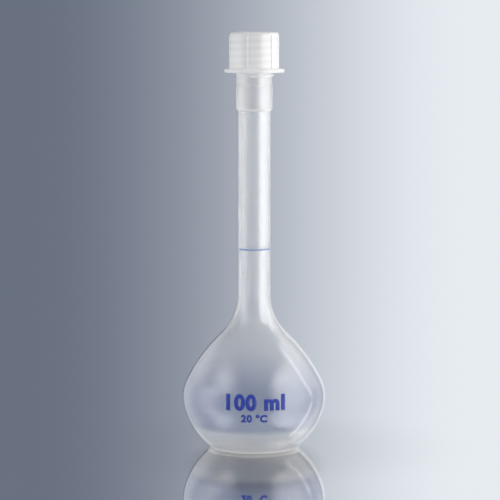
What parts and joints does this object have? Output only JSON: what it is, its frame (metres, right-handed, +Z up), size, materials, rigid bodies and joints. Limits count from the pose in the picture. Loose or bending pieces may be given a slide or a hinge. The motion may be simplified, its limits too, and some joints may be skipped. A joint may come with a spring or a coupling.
{
  "type": "volumetric flask",
  "caption": "Translucent plastic volumetric flask with a round bulb, a long narrow neck with a blue graduation ring, and a flanged screw cap.",
  "frame": {"origin": "centre of the standing ring, on the surface that the flask stands on", "axes": "+Z up along the flask's axis; the printed side faces -Y"},
  "size_m": [0.0608, 0.0608, 0.1771],
  "materials": {
    "flask": "translucent, slightly milky, smooth blow-moulded polypropylene",
    "cap": "translucent, milky injection-moulded polypropylene",
    "liner": "soft white foamed polyethylene",
    "ink": "blue printed ink"
  },
  "bodies": {
    "flask": {"flask_body": "flask", "graduation_ring": "ink"},
    "seal": {"cap_liner": "liner"},
    "cap": {"screw_cap": "cap"}
  },
  "joints": [
    {"name": "cap_lift", "type": "slide", "parent": "flask", "child": "seal", "axis": [0, 0, 1], "range_m": [0, 0.018]},
    {"name": "cap_turn", "type": "hinge", "parent": "seal", "child": "cap", "pos_m": [0, 0, 0.17565], "axis": [0, 0, 1], "range_deg": [0, 2160]}
  ],
  "couplings": [
    {"joint": "cap_lift", "follows": "cap_turn", "m_per_rad": 0.00047746}
  ]
}
